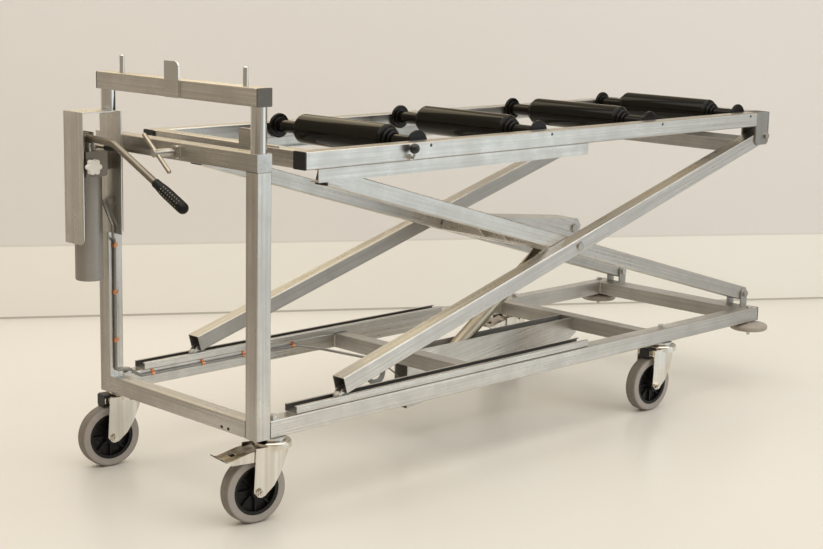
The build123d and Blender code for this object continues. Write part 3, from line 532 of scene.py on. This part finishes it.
def outer_arm_shade(finish):
    """Painted shade: unlit inside of the open lower ends, the roller forks under them and the faces between
    the arms.
    """
    slope, pivot = radians(arm_slope), spot(pivot_x, 0, pivot_z)
    tube_end, bore_half, unlit = -0.8524, 0.0183, 0.76
    fork_low, fork_high, fork_end, fork_faded, fork_shade = -0.0206, -0.0202, 0.05, 0.06, 0.55
    x, y, z = finish.place()
    up = (z - pivot.z) * cos(slope) - (x - pivot.x) * sin(slope)
    along = (x - pivot.x) * cos(slope) + (z - pivot.z) * sin(slope)
    middle = abs(y) - outer_arm_y / 1000
    bore_height = finish.band(up, -bore_half, bore_half, zone_edge)
    bore = bore_height * finish.band(middle, -bore_half, bore_half, zone_edge)
    under = 1 - finish.step(up, fork_low, fork_high)
    fork = under * (1 - finish.step(along, tube_end + fork_end, tube_end + fork_faded))
    between = painted_shade_between(finish, abs(y))
    return bore * finish.step(along, tube_end - 2 * zone_edge, tube_end) * unlit + fork * fork_shade + between


def painted_shade_between(finish, from_middle):
    """Painted shade on the tube that ties the outer arms, and less of it on their inner faces."""
    tie_end, inner_face, edge, tie_shade, face_shade = 0.2494, 0.2502, 0.0004, 0.50, 0.34
    past_tie = finish.step(from_middle, tie_end, tie_end + edge)
    past_face = finish.step(from_middle, inner_face, inner_face + edge)
    return tie_shade - past_tie * (tie_shade - face_shade) - past_face * face_shade


def axle_ends(finish):
    """Darkened ends of the load roller axles, sunk in the side tubes."""
    axle_radius, sunk_y, side_face_y = 4.3, 0.2925, 0.2930
    x, y, z = finish.place()
    axle = finish.band(z, at_z(load_axis_z - axle_radius), at_z(load_axis_z + axle_radius), zone_edge)
    return axle * finish.step(abs(y), sunk_y, side_face_y)


def well_inside(finish):
    """Painted shade inside the cylinder well."""
    half_inside = 0.0224
    y = finish.place()[1]
    return finish.band(y, -half_inside, half_inside, zone_edge)


def clevis_gap(finish):
    """Unlit faces between the two cheeks of each top clevis."""
    inner_cheek, outer_cheek, unlit = 0.2492, 0.2908, 0.9
    return finish.band(abs(finish.place()[1]), inner_cheek, outer_cheek, zone_edge) * unlit


def rear_tubes(finish):
    """Painted shade on the cross tubes behind the pump end."""
    start, edge, shade_share = at_x(700.0), 0.001, 0.38
    return finish.step(finish.place()[0], start, start + edge) * shade_share


def pedal_top(king, turn):
    """Upper face of a brake pedal, bent where it leaves the fork, which gets a painted dark reflection."""
    bend_at, bend_z, steep, flat = -0.075, -0.022, 0.245, 0.129
    skin_start, skin_full = -0.0011, -0.0006

    def zone(finish):
        x, y, z = finish.place()
        reach = (x - king.x) * cos(turn) + (y - king.y) * sin(turn) - bend_at
        face = finish.math("MINIMUM", reach * steep, reach * flat) + (king.z + bend_z)
        return finish.step(z - face, skin_start, skin_full)

    return zone


def rear_painted_shade(finish):
    """Painted shade that deepens towards the pivot end."""
    start, full, shade_share = at_x(1200.0), at_x(1800.0), 0.22
    return finish.step(finish.place()[0], start, full) * shade_share


def posts_and_pins(finish):
    """Polished posts below the docking bar and pins above it."""
    edge = 0.0003
    z = finish.place()[2]
    return 1 - finish.band(z, at_z(bar_low), at_z(bar_high), edge)


# Materials on the solids
def dress(material, *names):
    for name in names:
        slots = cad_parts[name].data.materials
        slots.clear()
        slots.append(material)


def dress_frame():
    """Tubes and bent sheet of the base, end frame, scissor, top frame and pump."""
    rail_mark = (0, at_x(tube), 0.0007)
    joint_mark = (2, at_z(upright_top), 0.0014)
    track_mark = (2, at_z(track_top), 0.0016)
    well_slope, inner_faces = 8, 0.250
    dress(brushed_steel("rail_steel", lengthwise, [rail_mark], rear_painted_shade), "base_rails")
    dress(brushed_steel("track_steel", lengthwise, dark=track_inside), "lower_tracks")
    dress(brushed_steel("cross_steel", crosswise, dark=rear_tubes), "base_cross_tubes")
    dress(brushed_steel("member_steel", crosswise), "top_end_members")
    dress(brushed_steel("upright_steel", upwards, [joint_mark]), "end_uprights")
    # The top tube's lower tone is painted shade
    dress(brushed_steel("top_tube_steel", crosswise, [joint_mark], tone=0.86), "end_top_tube")
    # The docking bar's higher tone is painted light
    dress(brushed_steel("docking_steel", crosswise, polished=posts_and_pins, tone=1.06), "docking_bar")
    dress(brushed_steel("well_steel", well_slope, dark=well_inside), "cylinder_well")
    dress(brushed_steel("inner_arm_steel", -arm_slope, dark=rear_painted_shade), "inner_arms", "lever_bracket")
    outer_arm_steel = brushed_steel("outer_arm_steel", arm_slope, dark=outer_arm_shade, between=inner_faces)
    dress(outer_arm_steel, "outer_arms")
    dress(brushed_steel("side_tube_steel", lengthwise, [track_mark]), "top_side_tubes", "upper_tracks")
    # The clevises' low tone is painted shade, besides the unlit gap between the cheeks
    dress(brushed_steel("clevis_steel", upwards, dark=clevis_gap, tone=0.60), "top_clevises")
    # The pump plate and cover's higher tone is painted light
    dress(brushed_steel("pump_sheet_steel", upwards, tone=1.18), "pump_plate", "pump_cover")


def dress_fittings():
    """Bolts, clamp, pump, cylinder and pipe."""
    thread_start = at_x(-26.0)
    dress(zinc("bolt_zinc"), "base_bolts", "arm_pins")
    dress(zinc("top_bolt_zinc", dark=axle_ends), "top_bolts")
    dress(turned_metal("screw_steel", (0.60, 0.58, 0.53), 0.20, thread_start), "clamp_screw")
    dress(turned_metal("bar_steel", (0.52, 0.465, 0.375), 0.22), "clamp_tee_bar")
    dress(turned_metal("lever_steel", (0.32, 0.285, 0.235), 0.32), "pump_lever")
    dress(turned_metal("piston_steel", (0.60, 0.59, 0.57), 0.14), "pump_piston", "cylinder_rod")
    dress(turned_metal("barrel_steel", (0.43, 0.375, 0.285), 0.20), "cylinder_barrel")
    dress(pump_casting("pump_grey"), "pump_body")
    dress(release_finish("release_mixed"), "release_lever")
    dress(white_knob("knob_white"), "release_knob")
    dress(pipe_and_hose("pipe_grey"), "hydraulic_pipe")
    dress(copper("clip_copper"), "pipe_clips")


def dress_mouldings():
    """Plastic caps and guards, rollers, grip, plunger and bumpers."""
    black = moulded("cap_black", (0.012, 0.012, 0.0125), 0.42, (0.035, 0.034, 0.033))
    dress(black, "rail_end_caps", "inner_arm_caps", "top_end_caps", "castor_guard_2", "castor_guard_3")
    dress(moulded("cap_grey", (0.105, 0.10, 0.092), 0.46, (0.15, 0.143, 0.132)), "docking_bar_caps")
    nylon = moulded("track_roller_nylon", (0.62, 0.60, 0.55), 0.38, (0.45, 0.43, 0.39))
    dress(nylon, "lower_track_rollers", "upper_track_rollers")
    dress(gloss_black("roller_black"), *[f"load_roller_{number}" for number in range(1, 5)])
    clean_grip, worn_grip = (0.005, 0.0048, 0.0046), (0.011, 0.0105, 0.010)
    dress(moulded("grip_black", clean_grip, 0.40, worn_grip, pitch=0.0011, shine=0.24), "pump_lever_grip")
    dress(plunger_finish("plunger_black"), "plunger")
    dress(bumper_rubber("bumper_grey"), "near_bumper", "far_bumper")


def dress_castors():
    """Forks, brake pedals, tyres and wheel centres."""
    dress(fork_plating("fork_zinc"), *[f"castor_fork_{number}" for number in castor_turn])
    # Painted reflection: each brake pedal's upper face is darkened
    for number, x, side in ((1, castor_x[0], -1), (4, castor_x[1], 1)):
        painted_reflection = pedal_top(spot(x, side * rail_y, 0), castor_turn[number])
        dress(fork_plating(f"pedal_zinc_{number}", painted_reflection), f"brake_pedal_{number}")
    for number, turn in castor_turn.items():
        low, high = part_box(f"castor_tyre_{number}")
        centre = (low + high) / 2
        dress(tyre_rubber(f"tyre_grey_{number}", centre, turn), f"castor_tyre_{number}")
        dress(hub_black(f"hub_black_{number}", centre, turn), f"castor_hub_{number}")


dress_frame()
dress_fittings()
dress_mouldings()
dress_castors()


# Small trim
def add_piece(name, mesh, body, material):
    piece = bpy.data.objects.new(name, mesh)
    scene.collection.objects.link(piece)
    piece.data.materials.append(material)
    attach(piece, body)


def ring_of(work, centre, first, second, radius, count):
    """Vertices of a circle in the plane of two unit vectors."""
    corners = []
    for index in range(count):
        angle = 2 * pi * index / count
        corners.append(work.verts.new(centre + (first * cos(angle) + second * sin(angle)) * radius))
    return corners


def join_rings(work, rings):
    """Closed skin over a run of rings."""
    count = len(rings[0])
    for low, high in zip(rings, rings[1:]):
        for index in range(count):
            after = (index + 1) % count
            work.faces.new((low[index], low[after], high[after], high[index]))
    work.faces.new(tuple(reversed(rings[0])))
    work.faces.new(tuple(rings[-1]))


def finished_mesh(work, name):
    bmesh.ops.recalc_face_normals(work, faces=work.faces)
    mesh = bpy.data.meshes.new(name)
    work.to_mesh(mesh)
    work.free()
    for face in mesh.polygons:
        face.use_smooth = True
    return mesh


def square_to(direction):
    """Two unit vectors square to a direction and to each other."""
    helper = Vector((0, 0, 1)) if abs(direction.z) < 0.9 else Vector((1, 0, 0))
    first = direction.cross(helper).normalized()
    return first, direction.cross(first)


weld_metal = turned_metal("weld_steel", (0.62, 0.59, 0.54), 0.26)
round_sides = 10
end_face = -0.4


def weld_run(work, start, end, radius):
    """Rippled weld bead between two points, drawn in at its ends."""
    groove, end_size, steps_per_ripple, fewest_steps = 0.14, 0.35, 3, 4
    direction = (end - start).normalized()
    first, second = square_to(direction)
    length, ripple = (end - start).length, radius * 0.9
    steps = max(fewest_steps, round(length / ripple * steps_per_ripple))
    rings = []
    for index in range(steps + 1):
        share = index / steps
        swell = 1 - groove + groove * abs(sin(pi * share * length / ripple))
        taper = min(1.0, end_size + min(share, 1 - share) * length / radius)
        centre = start + direction * length * share
        rings.append(ring_of(work, centre, first, second, radius * swell * taper, round_sides))
    join_rings(work, rings)


def weld_piece(name, runs, body, radius):
    work = bmesh.new()
    for start, end in runs:
        weld_run(work, spot(*start), spot(*end), radius)
    add_piece(name, finished_mesh(work, name), body, weld_metal)


def upright_run(x, y, low, high):
    return (x, y, low), (x, y, high)


def add_frame_welds():
    """Beads on the pivot lugs, the clamp block, the rail joints and the feet of the uprights."""
    lug_gap, lug_thick, lug_x, lug_foot = 21.0, 4.5, (1902.0, 1927.0), tube + 0.4
    lug_y = [side * inner_arm_y + edge * (lug_gap + lug_thick) for side in sides for edge in sides]
    weld_piece("lug_welds", [[(x, y, lug_foot) for x in lug_x] for y in lug_y], "base", radius=0.0018)
    block_y, block_z, block_half, block_reach = -17.0, 607.0, 11.0, 11.5
    block_ends = block_z - block_reach, block_z + block_reach
    clamp = [upright_run(end_face, block_y + side * block_half, *block_ends) for side in sides]
    weld_piece("clamp_welds", clamp, "base", radius=0.0016)
    rail_face, low, high, cross_x, end_x = 254.8, 3.0, tube - 3.0, (747.0, 1415.0), [1868.0, tube]
    joint_x = [x + edge * tube / 2 for x in cross_x for edge in sides] + end_x
    joints = [upright_run(x, side * rail_face, low, high) for side in sides for x in joint_x]
    weld_piece("rail_welds", joints, "base", radius=0.0035)
    foot, foot_half = tube + 0.2, 17.0
    feet = [[(foot, side * rail_y + edge * foot_half, foot) for edge in sides] for side in sides]
    weld_piece("upright_welds", feet, "base", radius=0.0018)


def add_fitting_welds():
    """Beads on the pump plate and on the tab and pins of the docking bar."""
    plate_side, side_run, plate_low, low_run = 193.2, (400.0, 586.0), 391.8, (255.0, 292.0)
    plate = [upright_run(end_face, plate_side, *side_run), [(end_face, y, plate_low) for y in low_run]]
    weld_piece("pump_plate_welds", plate, "base", radius=0.0016)
    tab_sides, tab_run = (-27.0, 25.0), (728.0, 763.0)
    tab = [upright_run(end_face, y, *tab_run) for y in tab_sides]
    weld_piece("tab_welds", tab, "docking_bar", radius=0.0015)
    pin_y, pin_run, pin_foot = (-231.0, 218.0), (14.5, 25.5), bar_high - 0.2
    pins = [[(x, y, pin_foot) for x in pin_run] for y in pin_y]
    weld_piece("pin_welds", pins, "docking_bar", radius=0.0012)


def add_stud(work, base, normal, direction, radius):
    """Low dome on a surface."""
    side = normal.cross(direction)
    rings = []
    for rise in (0.0, 0.45, 0.9, 1.3):
        centre = base + normal * radius * sin(rise)
        rings.append(ring_of(work, centre, direction, side, radius * cos(rise), round_sides))
    join_rings(work, rings)


def add_grip_studs():
    """Three rows of moulded studs on the pump lever's grip, coloured pale as painted highlights."""
    pivot_end, far_end = spot(-78, 116, 618), spot(-78, -145, 499.3)
    grip_radius, stud_radius, sunk = 0.0132, 0.0012, 0.0005
    first_from_end, spacing, count, row_leans = 0.078, 0.0086, 8, (-4, 30, 64)
    direction = (far_end - pivot_end).normalized()
    outward = Vector((-1, 0, 0))
    upward = outward.cross(direction).normalized()
    work = bmesh.new()
    for lean in row_leans:
        normal = outward * cos(radians(lean)) + upward * sin(radians(lean))
        for index in range(count):
            from_end = first_from_end - index * spacing
            base = far_end - direction * from_end + normal * (grip_radius - sunk)
            add_stud(work, base, normal, direction, stud_radius)
    # Painted highlight: the studs are real, and their pale colour stands for the glints on them
    material = moulded("stud_painted_highlight", (0.48, 0.435, 0.36), 0.35, (0.56, 0.52, 0.45))
    add_piece("grip_studs", finished_mesh(work, "grip_studs"), "pump_lever", material)


add_frame_welds()
add_fitting_welds()
add_grip_studs()


# Studio
diagonal = 0.7071
ahead, aside = Vector((diagonal, diagonal, 0)), Vector((diagonal, -diagonal, 0))
skirting_top = 0.25


def backdrop_material():
    """Plain pale floor and wall with a glossy skirting between."""
    floor_joint, joint_width, top_joint_width = 0.0035, 0.0045, 0.004
    skirting_foot, wall_foot = (0.001, 0.004), (skirting_top, skirting_top + 0.002)
    finish = Finish("studio_backdrop")
    x, y, z = finish.place()
    cloud = finish.spread(0.9, 3.0)
    colour = finish.mix(cloud, (0.830, 0.808, 0.758), (0.868, 0.846, 0.796))
    skirting = finish.step(z, *skirting_foot)
    wall = finish.step(z, *wall_foot)
    colour = finish.mix(skirting, colour, (0.90, 0.88, 0.83))
    colour = finish.mix(wall, colour, (0.765, 0.745, 0.725))
    joint = finish.line(z, floor_joint, joint_width) + finish.line(z, skirting_top, top_joint_width) * 0.35
    colour = finish.mix(joint * 0.6, colour, (0.25, 0.21, 0.16))
    rough = 0.30 - skirting * 0.05 + wall * 0.40
    paint = finish.node("ShaderNodeBsdfPrincipled", None, {"Base Color": colour, "Roughness": rough})
    clear = finish.node("ShaderNodeBsdfTransparent")
    behind = finish.node("ShaderNodeNewGeometry", output="Backfacing")
    return finish.cover_with(finish.node("ShaderNodeMixShader", None, {0: behind, 1: paint, 2: clear}))


def card_material():
    """Cool and brown paper on the floor to both sides, with soft edges."""
    slant, cool_edge, left_edge = 0.25, (0.98, 1.12), (0.80, 1.35)
    brown_edge, brown_end = (1.40, 1.90), (3.0, 4.2)
    cool_cover, brown_cover = 0.6, 0.85
    finish = Finish("studio_cards")
    x, y, z = finish.place()
    far, wide = (x + y) * diagonal, (x - y) * diagonal
    right = wide - far * slant
    cool = finish.step(right, *cool_edge) * cool_cover
    far_right = finish.step(right, *brown_edge) * (1 - finish.step(right, *brown_end))
    brown = (finish.step(0 - wide, *left_edge) + far_right) * brown_cover
    colour = finish.mix(brown, (0.74, 0.82, 0.92), (0.27, 0.222, 0.175))
    paper = finish.node("ShaderNodeBsdfPrincipled", None, {"Base Color": colour, "Roughness": 0.30})
    clear = finish.node("ShaderNodeBsdfTransparent")
    below = finish.node("ShaderNodeNewGeometry", output="Backfacing")
    cover = (1 - (1 - cool) * (1 - brown)) * (1 - below)
    return finish.cover_with(finish.node("ShaderNodeMixShader", None, {0: cover, 1: clear, 2: paper}))


def level_sheet(front, back, half_width, height):
    """Corners of a level sheet that faces up and lies square to the camera."""
    corners = ((front, -half_width), (front, half_width), (back, half_width), (back, -half_width))
    return [ahead * far + aside * wide + Vector((0, 0, height)) for far, wide in corners]


def add_stage(name, sheets, material):
    """Flat sheets that belong to the studio."""
    work = bmesh.new()
    for corners in sheets:
        work.faces.new([work.verts.new(corner) for corner in corners])
    mesh = bpy.data.meshes.new(name)
    work.to_mesh(mesh)
    work.free()
    mesh.materials.append(material)
    stage = bpy.data.objects.new(name, mesh)
    scene.collection.objects.link(stage)
    return stage


def make_backdrop():
    """Wide floor, and a low wall that stands slantwise on it behind the trolley."""
    reach, wall_at, wall_skew, wall_top, wall_half = 18.0, 1.468, 0.2206, 1.14, 6.0
    left, right = [ahead * (wall_at + wall_skew * wide) + aside * wide for wide in (-wall_half, wall_half)]
    rise = Vector((0, 0, wall_top))
    wall = (left, right, right + rise, left + rise)
    add_stage("studio_backdrop", [level_sheet(-reach, reach, reach, 0.0), wall], backdrop_material())


def make_cards():
    """Paper that the steel mirrors, laid on the floor and, like the lamps, not seen by the camera."""
    front, back, half_width, thickness = -9.0, 2.8, 6.0, 0.001
    cards = add_stage("studio_cards", [level_sheet(front, back, half_width, thickness)], card_material())
    cards.visible_camera = False
    cards.visible_diffuse = False
    cards.visible_shadow = False


def soft_box(name, place, target, size, radiance, colour):
    """Rectangular lamp of even brightness."""
    data = bpy.data.lights.new(name, "AREA")
    data.shape = "RECTANGLE"
    data.size, data.size_y = size
    data.energy = radiance * pi * size[0] * size[1]
    data.color = colour
    lamp = bpy.data.objects.new(name, data)
    lamp.location = place
    lamp.rotation_mode = "QUATERNION"
    lamp.rotation_quaternion = (Vector(target) - Vector(place)).to_track_quat("-Z", "Y")
    lamp.visible_camera = False
    scene.collection.objects.link(lamp)


def make_world():
    """Soft room: bright overhead, cool on the window side, golden behind, dim elsewhere."""
    world = bpy.data.worlds.new("studio_world")
    scene.world = world
    world.use_nodes = True
    shader = Shader(world.node_tree)
    direction = shader.node("ShaderNodeTexCoord", output="Generated")
    x, y, z = [shader.node("ShaderNodeSeparateXYZ", None, {0: direction}, output) for output in range(3)]
    towards_window, towards_back = x * 0.42 - y * 0.91, (x + y) * diagonal
    window = shader.step(towards_window, 0.72, 1.0)
    behind = shader.step(towards_back, 0.15, 0.55)
    colour = shader.mix(behind, (0.44, 0.365, 0.270), (0.48, 0.385, 0.245))
    colour = shader.mix(window, colour, (0.76, 0.85, 0.92))
    overhead = shader.step(z, 0.60, 0.92)
    colour = shader.mix(overhead, colour, (0.64, 0.61, 0.56))
    background = shader.node("ShaderNodeBackground", None, {"Color": colour, "Strength": 1.0})
    shader.node("ShaderNodeOutputWorld", None, {"Surface": background})


make_backdrop()
make_cards()
make_world()
soft_box("side_box", place=(1.75, -2.85, 0.95), target=(0.1, -0.2, 0.45), size=(2.6, 1.7),
         radiance=0.76, colour=(0.82, 0.94, 1.0))
soft_box("right_box", place=(3.6, -1.9, 0.95), target=(0.8, -0.2, 0.7), size=(1.5, 0.7),
         radiance=0.50, colour=(0.80, 0.93, 1.0))
soft_box("top_box", place=(-0.3, -0.6, 3.4), target=(0.0, 0.0, 0.4), size=(6.4, 5.4),
         radiance=1.38, colour=(1.0, 0.965, 0.91))
soft_box("back_box", place=(0.07, 1.70, 2.05), target=(-0.6, 0.5, 1.1), size=(1.5, 0.9),
         radiance=1.8, colour=(1.0, 0.86, 0.59))
scene.view_settings.view_transform = "Standard"
